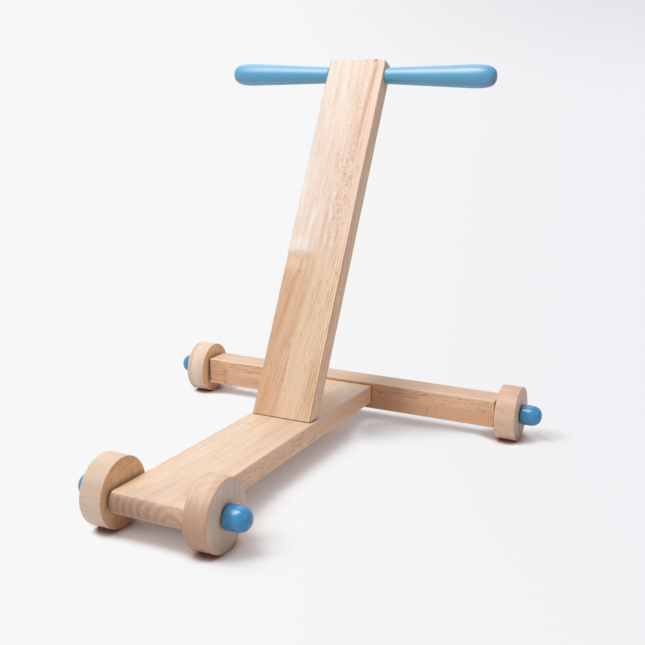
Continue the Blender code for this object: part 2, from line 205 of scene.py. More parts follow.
lamps = {
    "high": {"towards": (-0.22, -0.34, 0.91), "distance": 3.0, "size": 1.4, "power": 45.0},
    "softbox": {"towards": (-0.38, -0.62, 0.69), "distance": 3.0, "size": 0.8, "power": 14.5},
    "back": {"towards": (-0.38, 0.50, 0.78), "distance": 3.0, "size": 2.6, "power": 20.0},
    "fill": {"towards": (0.85, -0.10, 0.52), "distance": 3.0, "size": 1.2, "power": 5.2},
}


def addLamp(name, lamp):
    data = bpy.data.lights.new(name, "AREA")
    data.shape = "DISK"
    data.size = lamp["size"]
    data.energy = lamp["power"]
    towards = Vector(lamp["towards"]).normalized()
    made = bpy.data.objects.new(name, data)
    aim = Vector(view["target"])
    made.matrix_world = Matrix.Translation(aim + towards * lamp["distance"]) @ \
        towards.to_track_quat("Z", "Y").to_matrix().to_4x4()
    bpy.context.collection.objects.link(made)


def seenDirectly(bench):  # 1 for rays that show the backdrop, 0 for rays that only light
    path = bench.add("ShaderNodeLightPath", out="Is Camera Ray")
    glossy = bench.sum("MAXIMUM", path.twin("Is Glossy Ray"), path.twin("Is Transmission Ray"))
    return bench.sum("MAXIMUM", path, glossy)


def setSky(right):
    world = bpy.data.worlds.new("studio")
    bpy.context.scene.world = world
    world.use_nodes = True
    bench = Bench(world.node_tree)
    ray = bench.add("ShaderNodeTexCoord", out="Generated")
    upwards = bench.ease(bench.parts(ray)[2], *studio["wallRise"])
    wall = bench.blend(upwards, studio["paleRight"], studio["wallRight"])
    backdrop = bench.blend(bench.ease(bench.dot(ray, right), *studio["sweep"]), studio["paleLeft"], wall)
    sky = (studio["sky"],) * 3 + (1.0,)
    shown = bench.blend(seenDirectly(bench), sky, backdrop)
    bench.feed(world.node_tree.nodes["Background"], {"Color": shown})


def floorLook(right):  # paper that takes the shadows and glows as the backdrop does everywhere else
    look, bench, shader = newLook("floor_paper", Roughness=0.9, Specular_IOR_Level=0.1)
    spot = bench.spot()
    grit = bench.noise(spot, studio["gritStretch"], (0.0,) * 3, 3.0)
    paperColour = bench.blend(grit * studio["gritDepth"], studio["floorColour"], studio["gritColour"])
    # the lit sheet ends, so less light comes back from afar
    farOff = bench.ease(bench.length(spot), *studio["lit"])
    paperColour = bench.blend(farOff, paperColour, studio["farColour"])
    x, y = bench.parts(spot)[:2]
    openness = bench.shelter(shadow["rays"], shadow["reach"], shadow["slant"])
    underBar = bench.ease(y, *shadow["barDepth"]) * bench.ease(abs(x), *shadow["barEnds"])
    openness = openness + underBar * shadow["barRelief"]
    leeward = bench.shelter(shadow["rays"], shadow["reach"], shadow["sideSlant"])
    behind = 0.0
    for place, size, extra in shadow["lees"]:
        zone = bench.patch(x, y, place, size)
        leeward = leeward - zone * extra
        behind = bench.sum("MAXIMUM", zone, behind)
    leeward = bench.ease(leeward, *shadow["sideOpen"]) * bench.clamp(behind * shadow["leeGain"])
    sideLight = 1 - leeward * shadow["sideDepth"]
    clear = bench.ease(openness, *shadow["open"])
    veil = bench.ease(openness, *shadow["tight"]) * shadow["veil"]
    touch = bench.ease(bench.shelter(shadow["rays"], shadow["contact"]), *shadow["touch"])
    touch = bench.sum("MAXIMUM", touch, clear * clear)
    bench.feed(shader, {"Base Color": bench.blend(clear * touch, shadow["shade"], paperColour)})
    sideways = bench.dot(spot, right) / (bench.length(spot) + studio["sweepBack"])
    backdrop = bench.blend(bench.ease(sideways, *studio["sweep"]), studio["paleLeft"], studio["paleRight"])
    fade = bench.ease(bench.sum("MAXIMUM", abs(x), abs(y)), *studio["fade"])
    lightness = bench.sum("MAXIMUM", bench.sum("MINIMUM", clear, sideLight), veil) * touch
    share = seenDirectly(bench) * bench.sum("MAXIMUM", lightness, fade)
    glow = bench.add("ShaderNodeEmission", None, {"Color": bench.blend(clear, shadow["dusk"], backdrop)})
    paper = Wire(bench, shader.outputs["BSDF"])
    mixed = bench.add("ShaderNodeMixShader", None, {0: share, 1: paper, 2: glow})
    bench.feed(look.node_tree.nodes["Material Output"], {"Surface": mixed})
    return look


def setStudio(right):
    bpy.context.scene.view_settings.view_transform = "Standard"
    setSky(right)
    shape = bmesh.new()
    bmesh.ops.create_circle(shape, cap_ends=True, segments=studio["floorSides"], radius=studio["floorRadius"])
    mesh = bpy.data.meshes.new("floor")
    shape.to_mesh(mesh)
    shape.free()
    mesh.materials.append(floorLook(right))
    floor = bpy.data.objects.new("floor", mesh)
    bpy.context.collection.objects.link(floor)
    for name, lamp in lamps.items():
        addLamp(name, lamp)


setStudio(setCamera())
print("camera, floor and lamps set")


# wood: x across the grain, y through the board, z along it, in metres from the piece's own place
def woodGrain(bench, wood):
    spot = bench.spot()
    normal = spot.twin("Normal")
    local = bench.add("ShaderNodeMapping", {"vector_type": "TEXTURE"},
                      {"Vector": spot, "Location": wood["place"], "Rotation": wood["turn"]})
    across, through, along = bench.parts(local)
    seed = wood["seed"]
    wander = bench.noise(local, wood["wanderStretch"], (seed, 0.3, 7.1), 1.0) - 0.5
    ripple = bench.noise(local, wood["rippleStretch"], (1.7, seed, 2.9), 2.0) - 0.5
    return {"bench": bench, "wood": wood, "spot": spot, "local": local, "across": across, "through": through,
            "along": along, "bent": across + wander * wood["wander"] + ripple * wood["ripple"],
            "deep": through + wander * wood["wander"] * wood["deepShare"],
            "endGrain": bench.ease(abs(bench.dot(normal, wood["grainLine"])), *wood["endFacing"]),
            "side": bench.ease(abs(bench.dot(normal, wood["sideLine"])), *wood["sideFacing"])}


def layGrain(grain):  # tone, streaks, fibres, pores and rings, once the bend is settled
    bench, wood, seed = grain["bench"], grain["wood"], grain["wood"]["seed"]
    flow = bench.triple(grain["bent"], grain["deep"], grain["along"])
    grain["flow"] = flow
    tone = bench.noise(flow, wood["toneStretch"], (seed, 4.4, 1.3), 2.0)
    grain["tone"] = bench.ease(tone, *wood["toneRange"])
    grain["streak"] = bench.noise(flow, wood["streakStretch"], (3.7, seed, 0.6), 3.0, 0.6) - 0.5
    grain["fibre"] = bench.noise(flow, wood["fibreStretch"], (2.2, seed, 8.8), 2.0, 0.6) - 0.5
    crowd = bench.ease(bench.noise(flow, wood["crowdStretch"], (seed, 6.6, 0.4), 1.0), *wood["crowdRange"])
    field = bench.noise(flow, wood["poreStretch"], (5.5, 1.1, seed), 1.0)
    grain["pores"] = bench.ease(field, *wood["poreRange"]) * raised(crowd, wood["crowdLeast"])
    pith = wood["pith"]
    ring = bench.length(bench.triple(grain["bent"] - pith[0], grain["deep"] - pith[1], 0.0))
    wobble = bench.noise(flow, wood["ringNoise"], (0.9, seed, 3.2), 3.0)
    ring = ring / wood["ringGap"] + wood["ringWobble"] * wobble
    grain["rings"] = (0.5 + 0.5 * bench.sum("COSINE", ring * (2 * pi))) ** wood["ringSharpness"]


def tinge(bench, colour, mask, wood, name):  # by the depth and the colour that the wood gives that name
    return bench.blend(mask * wood[name + "Depth"], colour, wood[name + "Colour"])


def layStainsAndLight(bench, colour, u, v, marks):  # knots, flames, streaks and patches, some of them painted light and shade: place, half size, strength, colour, lean
    for place, size, strength, mark, *lean in marks:
        mask = bench.patch(u, v, [value * mm for value in place], [value * mm for value in size], *lean)
        colour = bench.blend(mask * strength, colour, tint(*mark))
    return colour


def startWood(name, wood):
    look, bench, shader = newLook(name, Specular_IOR_Level=wood["gloss"])
    return bench, woodGrain(bench, wood) | {"look": look, "shader": shader}


def finishWood(grain, colour):
    bench, wood = grain["bench"], grain["wood"]
    fibre, pores, streak, endGrain = (grain[key] for key in ("fibre", "pores", "streak", "endGrain"))
    colour = tinge(bench, colour, grain["rings"], wood, "ring")
    colour = bench.blend(endGrain * wood["endDark"], colour, wood["endColour"])
    colour = bench.blend(endGrain * grain["rings"] * wood["endRings"], colour, wood["endRingColour"])
    colour = tinge(bench, colour, pores, wood, "pore")
    lines = streak * wood["streakDepth"] + fibre * wood["fibreDepth"]
    lines = bench.triple(1 + lines * wood["lineRed"], 1 + lines, 1 + lines * wood["lineBlue"])
    colour = bench.blend(1.0, colour, lines, "MULTIPLY")
    colour = bench.scale(colour, 1 + endGrain * grain["across"] * wood["endTilt"])
    if "half" in wood:  # edges where two faces meet take the edge colour: paler on deck and bar, a painted highlight; darker on the post
        worn = wood["edgeTone"]
        for offset, half in zip((grain["across"], grain["through"] - wood["middle"]), wood["half"]):
            worn = bench.ease(abs(offset), *(half - inset for inset in wood["edgeInset"])) * worn
        colour = bench.blend(worn, colour, wood["edgeColour"])
    height = fibre * wood["fibreHeight"] - pores * wood["poreHeight"] + streak * wood["streakHeight"]
    rough = wood["rough"] + fibre * wood["fibreRough"] + pores * wood["poreRough"]
    rough = rough + endGrain * wood["endRough"]
    bench.feed(grain["shader"], {"Base Color": colour, "Roughness": rough,
                                 "Normal": bench.bump(wood["bump"], wood["bumpReach"], height)})
    return grain["look"]


plainWood = {
    "sideLine": (1.0, 0.0, 0.0), "middle": 0.0, "wander": 9 * mm, "wanderStretch": (9.0, 9.0, 2.2),
    "ripple": 1.6 * mm, "rippleStretch": (85.0, 85.0, 13.0),
    "deepShare": 0.5, "endFacing": (0.55, 0.95), "sideFacing": (0.55, 0.9),
    "toneStretch": (24.0, 24.0, 1.8), "toneRange": (0.30, 0.70),
    "streakStretch": (150.0, 150.0, 5.0), "streakDepth": 0.26, "streakHeight": 0.3,
    "fibreStretch": (460.0, 460.0, 16.0), "fibreDepth": 0.30, "fibreHeight": 0.5, "fibreRough": 0.25,
    "lineRed": 0.7, "lineBlue": 1.25,  # streaks and fibres are warmer as they darken
    "poreStretch": (420.0, 420.0, 32.0), "poreRange": (0.60, 0.70), "poreHeight": 0.8, "poreRough": 0.12,
    "poreDepth": 0.4, "poreColour": tint(176, 122, 86),
    "crowdStretch": (38.0, 38.0, 7.0), "crowdRange": (0.38, 0.64), "crowdLeast": 0.4,
    "pith": (30 * mm, 60 * mm), "ringGap": 9 * mm, "ringWobble": 1.2, "ringNoise": (70.0, 70.0, 4.0),
    "ringSharpness": 1.5, "ringDepth": 0.12, "ringColour": tint(206, 166, 136),
    "endDark": 0.5, "endColour": tint(212, 176, 152), "endTilt": 0.0, "endRough": 0.1,
    "endRings": 0.25, "endRingColour": tint(160, 126, 106),
    # a pale edge colour is a painted highlight along the eased edges
    "edgeTone": 0.35, "edgeColour": tint(250, 230, 208), "edgeInset": (2.6 * mm, 0.4 * mm),
    "rough": 0.48, "gloss": 0.4, "bump": 0.15, "bumpReach": 0.5 * mm,
}

# deck: one wide plank, grain along the part
# painted shadow: thin dark lines along the deck's top edges where the front wheels stand close
gapShadow = (92, 62, 44)
deckWood = plainWood | {
    "place": (0.0, 0.0, 37.5 * mm), "turn": (radians(-90), 0.0, 0.0), "grainLine": (0.0, 1.0, 0.0),
    "seed": 3.0, "half": (43 * mm, 12 * mm),
    "pith": (28 * mm, 8 * mm), "ringGap": 8.5 * mm, "ringWobble": 1.6, "ringNoise": (30.0, 30.0, 4.0),
    "endDark": 0.9, "endColour": tint(196, 158, 136), "endTilt": 6.0,
    "endRings": 0.36, "endRingColour": tint(148, 115, 97),
    "poreDepth": 0.28, "poreStretch": (640.0, 640.0, 44.0),
    "streakDepth": 0.18, "fibreDepth": 0.27, "streakStretch": (210.0, 210.0, 5.5),
    "pale": tint(243, 217, 193), "warm": tint(232, 197, 167),
    "sidePale": tint(254, 217, 185), "sideWarm": tint(243, 196, 160),
    "toothHalf": 1.85 * mm, "toothEdge": (0.7 * mm, 1.3 * mm),
    "toothPlace": (-25 * mm, -11 * mm), "toothSpread": (14 * mm, 6 * mm),
    "toothDepth": 0.5, "toothColour": tint(206, 160, 124),
    "speckStretch": (560.0, 560.0, 74.0), "speckRange": (0.58, 0.66), "speckFrom": (90 * mm, -60 * mm),
    "speckLeast": 0.2, "speckDepth": 0.46, "speckColour": tint(140, 76, 46),
    # painted shade in the gap beside each front wheel
    "axle": -222.9 * mm, "gapShadeEdge": (37 * mm, 32 * mm),
    "grimeDepth": 0.9, "grimeColour": tint(50, 36, 28),
    # painted shadow line at the far end, against the crossbar
    "endGapShadow": (202.5 * mm, 203.7 * mm), "endGapShadowDepth": 0.92, "endGapShadowColour": tint(52, 34, 24),
    "wriggle": 1.5 * mm, "wriggleStretch": (400.0,) * 3,
    # some marks are painted light and shade: the pale patches far back, where the post and crossbar shade the
    # deck, are painted light; the pale marks by the nose's left edge and right corner are painted highlights;
    # the dark lines along both edges at the wheels are painted shadow
    "marks": (
        ((-38, -222), (8, 45), 0.6, (243, 206, 150)), ((38, -236), (10, 14), 0.5, (246, 214, 160)),
        ((28, -196), (26, 54), 0.4, (208, 170, 142)), ((2, -200), (5, 60), 0.3, (206, 172, 150), 0.1),
        ((-16, -160), (4, 50), 0.25, (212, 178, 156), 0.06),
        ((-18, -225), (5, 30), 0.35, (196, 160, 138), 0.1), ((8, -228), (46, 70), 0.3, (212, 180, 156)),
        ((-14, -242), (32, 28), 0.45, (212, 180, 158)), ((16, 160), (48, 90), 1.0, (255, 229, 204)),
        ((12, 202), (60, 20), 0.9, (255, 209, 158)), ((-43, -222), (1.7, 38), 0.8, gapShadow),
        ((43, -222), (1.7, 38), 0.8, gapShadow),
    ),
}


def deckLook():
    wood = deckWood
    bench, grain = startWood("deck_wood", wood)
    layGrain(grain)
    across, along = grain["across"], grain["along"]
    colour = bench.blend(grain["tone"], wood["pale"], wood["warm"])
    colour = layStainsAndLight(bench, colour, grain["bent"], along, wood["marks"])
    # a faint finger joint in front of the post
    teeth = bench.ease(bench.sum("PINGPONG", across, wood["toothHalf"]), *wood["toothEdge"])
    teeth = teeth * bench.patch(across, along, wood["toothPlace"], wood["toothSpread"])
    colour = tinge(bench, colour, teeth, wood, "tooth")
    narrow = bench.blend(grain["tone"], wood["sidePale"], wood["sideWarm"])
    speck = bench.noise(grain["flow"], wood["speckStretch"], (4.0, 2.0, 6.0), 1.0)
    crowded = raised(bench.ease(along, *wood["speckFrom"]), wood["speckLeast"])
    narrow = tinge(bench, narrow, bench.ease(speck, *wood["speckRange"]) * crowded, wood, "speck")
    # painted shade on the deck's sides around the front axles, where the narrow gap to each wheel lies in
    # shadow
    hub = bench.length(bench.triple(along - wood["axle"], grain["through"], 0.0))
    narrow = tinge(bench, narrow, bench.ease(hub, *wood["gapShadeEdge"]), wood, "grime")
    colour = bench.blend(grain["side"], colour, narrow)
    # painted shadow: a dark wavy line across the deck's far end, in the gap against the crossbar
    wriggle = bench.noise(grain["local"], wood["wriggleStretch"], (1.0, 2.0, 3.0), 2.0) - 0.5
    endGapShadow = bench.ease(along + wriggle * wood["wriggle"], *wood["endGapShadow"])
    return finishWood(grain, tinge(bench, colour, endGapShadow, wood, "endGapShadow"))


# crossbar: redder stick with short flecks, grain along the bar
barEndShadow, rust, russet = (92, 58, 40), (160, 92, 58), (150, 84, 50)
copper, sienna = (180, 104, 62), (160, 86, 50)
alongX = {"turn": (0.0, radians(90), 0.0), "grainLine": (1.0, 0.0, 0.0)}  # as the axles run
barWood = plainWood | alongX | {
    "place": (0.0, 225.4 * mm, 35 * mm), "sideLine": (0.0, 1.0, 0.0), "seed": 11.0,
    "half": (18 * mm, 20 * mm), "middleHeight": 35 * mm,
    # its paler edges are a painted highlight
    "pith": (50 * mm, 40 * mm), "edgeTone": 0.5, "edgeColour": tint(255, 228, 198),
    "pale": tint(236, 202, 175), "warm": tint(223, 184, 155),
    "sidePale": tint(246, 204, 168), "sideWarm": tint(231, 180, 141),
    # the end faces, beside the rear wheels, are nearly black: painted shade for the narrow gap to the wheels
    "poreColour": tint(160, 92, 56), "endDark": 0.95, "endColour": tint(84, 60, 46),
    "tanFrom": (60 * mm, 170 * mm), "tanDepth": 0.3, "tanColour": tint(206, 162, 132),
    "dashStretch": (660.0, 660.0, 80.0), "dashRange": (0.575, 0.66), "dashFrom": (26 * mm, 46 * mm),
    "dashLeast": 0.25, "dashDepth": 0.5, "dashColour": tint(162, 82, 44),
    "wriggle": 1.6 * mm, "wriggleStretch": (500.0,) * 3,
    "stainsAndShadows": (  # along the bar and up it, on the long faces
        # the thin dark lines at both ends are painted shadow where the rear wheels stand close; the broad
        # dark patch at 68 along is the post's painted shadow on the bar
        ((-213, 35), (1.6, 40), 0.7, barEndShadow), ((213, 35), (1.6, 40), 0.3, barEndShadow),
        ((68, 34), (52, 40), 0.45, (184, 124, 86)), ((-206, 35), (24, 40), 0.4, (206, 138, 96)),
        ((-187.5, 34), (10, 22), 0.45, (200, 140, 100)), ((-187.5, 37.6), (1.6, 2.6), 0.9, (120, 62, 40)),
        ((-187, 21), (1.5, 3.6), 0.9, (130, 72, 46), 0.1), ((-185, 53), (2.5, 1.6), 0.8, (110, 66, 44)),
        ((-180, 46), (1.5, 7), 0.3, (190, 130, 92)), ((122.6, 28.6), (1.1, 5.5), 0.7, russet, 0.1),
        ((120.5, 23.0), (1.8, 1.4), 0.6, russet, 0.6), ((135, 33.5), (0.9, 3.2), 0.65, rust),
        ((134.5, 27.5), (0.8, 2.4), 0.6, rust), ((134, 22.5), (0.8, 1.8), 0.6, rust),
        ((147, 32.5), (0.8, 3.2), 0.45, (170, 104, 68)), ((61.5, 33), (0.8, 4.5), 0.4, (150, 90, 60)),
        ((83, 34), (0.8, 3.5), 0.35, (160, 100, 68)), ((199, 38), (2.2, 4.5), 0.5, copper, 0.2),
        ((197, 30), (0.8, 3.0), 0.4, copper), ((208.5, 31), (1.0, 2.4), 0.6, sienna),
        ((206.5, 25.5), (0.9, 2.6), 0.5, sienna, 0.2),
    ),
}


def barLook():
    wood = barWood
    bench, grain = startWood("bar_wood", wood)
    layGrain(grain)
    along, up = grain["along"], grain["across"] * -1 + wood["middleHeight"]
    colour = bench.blend(grain["tone"], wood["pale"], wood["warm"])
    colour = tinge(bench, colour, bench.ease(along, *wood["tanFrom"]), wood, "tan")
    narrow = bench.blend(grain["tone"], wood["sidePale"], wood["sideWarm"])
    dash = bench.noise(grain["flow"], wood["dashStretch"], (4.0, 2.0, 6.0), 1.0)
    crowded = raised(bench.ease(up, *wood["dashFrom"]), wood["dashLeast"])
    narrow = tinge(bench, narrow, bench.ease(dash, *wood["dashRange"]) * crowded, wood, "dash")
    wriggle = bench.noise(grain["local"], wood["wriggleStretch"], (3.0, 1.0, 2.0), 2.0) - 0.5
    narrow = layStainsAndLight(bench, narrow, along + wriggle * wood["wriggle"], up, wood["stainsAndShadows"])
    return finishWood(grain, bench.blend(grain["side"], colour, narrow))


# post: finger-jointed staves, pale and pinkish above the joint, honey below it
postLean = radians(25.8)
postWood = plainWood | {
    "place": (0.0, 23.1 * mm, 49.8 * mm), "turn": (-postLean, 0.0, 0.0),
    "grainLine": (0.0, sin(postLean), cos(postLean)), "seed": 7.0,
    "half": (39 * mm, 11 * mm), "middle": 11 * mm,
    "pith": (60 * mm, 50 * mm), "ringDepth": 0.06, "wander": 5 * mm, "streakDepth": 0.32,
    "poreDepth": 0.42, "poreStretch": (680.0, 680.0, 72.0), "poreColour": tint(180, 114, 72),
    "poreRange": (0.58, 0.68), "poreLeast": 0.35,
    "endDark": 0.3, "endColour": tint(238, 206, 182), "edgeColour": tint(224, 178, 140),
    "sidePale": tint(255, 226, 202), "sideWarm": tint(244, 200, 166), "sideRange": (0.36, 0.64),
    "joint": 207.5 * mm, "tooth": 5.4 * mm, "toothPitch": 3.3 * mm, "toothBlur": 0.6 * mm,
    "staveEdge": -6.5 * mm, "staveBlur": 0.3 * mm, "lean": -0.115, "jog": 0.37, "markShare": 0.5,
    "driftStretch": (90.0, 90.0, 16.0), "drift": 0.08, "lowFrom": (262 * mm, 168 * mm),
    "seamPlace": 27.4 * mm, "seamGap": 3.6 * mm, "seamFrom": (26 * mm, 28 * mm),
    "seamRise": (330 * mm, 180 * mm), "seamDepth": 0.13,
    "foldPlace": (38.5 * mm, 0.5 * mm), "foldSize": (1.7 * mm, 1.7 * mm),
    "foldRise": (410 * mm, 300 * mm), "foldColour": tint(158, 100, 62),
    # painted shadow along the foot
    "footShadowLine": (51.0 * mm, 50.2 * mm), "footDepth": 0.9, "footColour": tint(70, 45, 28),
    "wriggle": 1.2 * mm, "wriggleStretch": (260.0,) * 3,
}
cream, pinkGrey, pearl = (255, 248, 240), (220, 186, 168), (252, 236, 226)
milk, straw = (252, 238, 228), (232, 194, 160)
upperStave = {
    "left": tint(255, 242, 230), "right": tint(250, 221, 199), "spread": (-34 * mm, 34 * mm),
    "shade": tint(236, 202, 178), "shadeRange": (0.4, 1.0), "shadeDepth": 0.35,
    "mottleStretch": (130.0, 130.0, 11.0), "mottleRange": (0.47, 0.66), "mottleFrom": (-30 * mm, 20 * mm),
    "mottleLeast": 0.45, "mottleDepth": 0.42, "mottleColour": tint(218, 176, 142),
    "dotStretch": (560.0, 560.0, 380.0), "dotRange": (0.55, 0.66),
    "dotDepth": 0.5, "dotColour": tint(200, 138, 102),
    "dotPlace": (17 * mm, 395 * mm), "dotSpread": (30 * mm, 140 * mm),
    "curlStretch": (1.0, 1.0, 0.5), "curlScale": 280.0, "curlTwist": 1.5, "curlRange": (0.52, 0.61),
    "curlDepth": 0.72, "curlColour": tint(206, 156, 130),
    "curlPlace": (17 * mm, 302 * mm), "curlSpread": (25 * mm, 118 * mm),
    "marks": (
        ((-10, 430), (4.5, 75), 0.7, cream), ((19.5, 425), (2.2, 40), 0.45, cream),
        ((34.5, 420), (4.0, 80), 0.55, (253, 234, 218), 0.02), ((-30, 440), (5, 60), 0.35, cream),
        ((26.4, 448), (4.2, 46), 0.8, (214, 166, 132), 0.03),
        ((23.6, 395), (3.8, 48), 0.75, (216, 168, 134), 0.03),
        ((22.6, 355), (3.2, 40), 0.5, (218, 172, 142), 0.03),
        ((24.6, 472.5), (2.6, 2.6), 1.0, (80, 50, 38), 0.5),
        ((22.4, 469.5), (1.8, 1.8), 0.8, (120, 80, 60)), ((-28.5, 355), (2.0, 34), 0.4, (236, 200, 172)),
        ((-17, 280), (3.6, 4.5), 0.5, straw, 0.2), ((-28, 286), (2.2, 7), 0.4, straw, 0.3),
        ((-13.5, 257), (5.0, 30), 0.7, cream, 0.17), ((8, 288), (3.0, 14), 0.8, pearl),
        ((7.5, 265), (3.4, 20), 0.9, pearl), ((7.8, 231), (3.0, 20), 0.9, milk),
        ((17.7, 226), (2.8, 18), 0.85, milk), ((3.6, 256), (1.6, 18), 0.8, pinkGrey, 0.05),
        ((13.5, 258), (1.7, 16), 0.8, pinkGrey, 0.05), ((22, 236), (1.8, 16), 0.8, pinkGrey),
        ((25.3, 219), (1.5, 11), 0.8, pinkGrey), ((12.5, 222), (1.6, 14), 0.8, pinkGrey),
        ((-24, 221), (19, 15), 0.75, cream),
    ),
}
flame = (212, 156, 112)
lowerStave = {
    "left": tint(231, 189, 153), "right": tint(241, 209, 177), "spread": (-36 * mm, 6 * mm),
    "shade": tint(214, 168, 126), "shadeRange": (0.35, 1.0), "shadeDepth": 0.35,
    "veinStretch": (210.0, 210.0, 9.0), "veinRange": (0.53, 0.66), "veinLeast": 0.35,
    "veinDepth": 0.4, "veinColour": tint(202, 148, 104),
    "dripRange": (-0.1, 0.9), "dripFrom": (17 * mm, 3 * mm),
    "dripDepth": 0.4, "dripColour": tint(196, 142, 104),
    "marks": (
        ((-18.2, 184.4), (5.0, 5.4), 1.0, (204, 150, 98)), ((-18.4, 184), (2.2, 2.6), 0.35, (180, 122, 76)),
        ((-32, 186), (6.0, 10), 0.6, (206, 154, 112), 0.2), ((-23, 170), (4.0, 20), 0.65, flame, 0.1),
        ((-25, 142), (4.6, 30), 0.7, flame, 0.08), ((-30, 108), (4.2, 28), 0.6, flame, 0.12),
        ((-6.5, 143), (3.0, 26), 0.45, flame, 0.09), ((-10.5, 106), (3.2, 24), 0.45, flame, 0.1),
        ((-19, 88), (3.0, 26), 0.4, flame, 0.1), ((-27, 20), (9, 46), 0.5, (222, 170, 122), 0.05),
        ((-33, 196), (6, 9), 0.4, (240, 204, 176)), ((31, 40), (11, 80), 0.6, (216, 168, 126)),
        ((-27, 196), (26, 24), 0.85, (247, 215, 188)), ((12, 196), (26, 44), 0.4, (250, 226, 202)),
    ),
}


def staveColour(bench, grain, stave):  # from its left to its right, shaded by the wood's tone
    colour = bench.blend(bench.ease(grain["across"], *stave["spread"]), stave["left"], stave["right"])
    shade = bench.ease(grain["tone"], *stave["shadeRange"]) * stave["shadeDepth"]
    return bench.blend(shade, colour, stave["shade"])


def upperColour(bench, grain, wobble):
    across, along, local = grain["across"], grain["along"], grain["local"]
    stave = upperStave
    colour = staveColour(bench, grain, stave)
    mottle = bench.noise(grain["flow"], stave["mottleStretch"], (1.0, 6.0, 2.0), 3.0, 0.6)
    crowded = raised(bench.ease(across, *stave["mottleFrom"]), stave["mottleLeast"])
    colour = tinge(bench, colour, bench.ease(mottle, *stave["mottleRange"]) * crowded, stave, "mottle")
    colour = layStainsAndLight(bench, colour, wobble, along, stave["marks"])
    dots = bench.ease(bench.noise(local, stave["dotStretch"], (3.0, 9.0, 4.0), 1.0), *stave["dotRange"])
    dots = dots * bench.patch(across, along, stave["dotPlace"], stave["dotSpread"])
    colour = tinge(bench, colour, dots, stave, "dot")
    combed = bench.add("ShaderNodeVectorMath", {"operation": "MULTIPLY"}, {0: local, 1: stave["curlStretch"]})
    curls = bench.add("ShaderNodeTexNoise", None, {
        "Vector": combed, "Scale": stave["curlScale"], "Detail": 1.0, "Distortion": stave["curlTwist"]})
    curls = bench.ease(curls, *stave["curlRange"])
    curls = curls * bench.patch(across, along, stave["curlPlace"], stave["curlSpread"])
    return tinge(bench, colour, curls, stave, "curl")


def lowerColour(bench, grain, wobble, leftStave, zigzag):
    along, joint = grain["along"], postWood["joint"]
    stave = lowerStave
    colour = staveColour(bench, grain, stave)
    vein = bench.noise(grain["flow"], stave["veinStretch"], (8.0, 1.0, 5.0), 2.0)
    vein = bench.ease(vein, *stave["veinRange"]) * raised(leftStave, stave["veinLeast"])
    colour = tinge(bench, colour, vein, stave, "vein")
    colour = layStainsAndLight(bench, colour, wobble, along, stave["marks"])
    drip = bench.ease(along, *(joint - below for below in stave["dripFrom"]))  # darker under each tooth
    drip = bench.ease(zigzag, *stave["dripRange"]) * drip * leftStave
    return tinge(bench, colour, drip, stave, "drip")


def postLook():
    wood = postWood
    bench, grain = startWood("post_wood", wood)
    across, along, local = grain["across"], grain["along"], grain["local"]
    edge, blur, comb = wood["staveEdge"], wood["staveBlur"], wood["toothBlur"]
    leftStave = bench.ease(across, edge + blur, edge - blur)
    half = wood["toothPitch"] / 2
    zigzag = bench.sum("PINGPONG", across, half) / half * 2 - 1
    belowComb = along - (wood["joint"] + zigzag * wood["tooth"])
    belowComb = bench.ease(belowComb, comb, -comb) * leftStave
    drift = bench.noise(local, wood["driftStretch"], (2.0, 5.0, 1.0), 2.0) - 0.5
    low = belowComb + bench.ease(along + drift * wood["drift"], *wood["lowFrom"]) * (1 - leftStave)
    wobble = across + (grain["bent"] - across) * wood["markShare"]
    under = bench.sum("MINIMUM", along - wood["joint"], 0.0)
    # the lower stave has grain of its own
    grain["bent"] = grain["bent"] + under * wood["lean"] + belowComb * wood["jog"]
    layGrain(grain)
    grain["pores"] = grain["pores"] * raised(low, wood["poreLeast"])
    upper = upperColour(bench, grain, wobble)
    colour = bench.blend(low, upper, lowerColour(bench, grain, wobble, leftStave, zigzag))
    # fine lines beside the right edge
    seams = bench.sum("COSINE", (wobble - wood["seamPlace"]) * (2 * pi / wood["seamGap"]))
    lined = bench.ease(across, *wood["seamFrom"]) * bench.ease(along, *wood["seamRise"])
    colour = bench.scale(colour, 1 - seams * lined * wood["seamDepth"])
    fold = bench.patch(across, grain["through"], wood["foldPlace"], wood["foldSize"])
    colour = bench.blend(fold * bench.ease(along, *wood["foldRise"]), colour, wood["foldColour"])
    narrow = bench.ease(grain["streak"] + 0.5, *wood["sideRange"])
    narrow = bench.blend(narrow, wood["sidePale"], wood["sideWarm"])
    colour = bench.blend(grain["side"], colour, narrow)
    # painted shadow: a dark wavy line along the post's foot, where it stands on the deck
    height = bench.parts(grain["spot"])[2]
    wriggle = bench.noise(local, wood["wriggleStretch"], (5.0, 5.0, 5.0), 2.0) - 0.45
    foot = bench.ease(height + wriggle * wood["wriggle"], *wood["footShadowLine"])
    return finishWood(grain, tinge(bench, colour, foot, wood, "foot"))


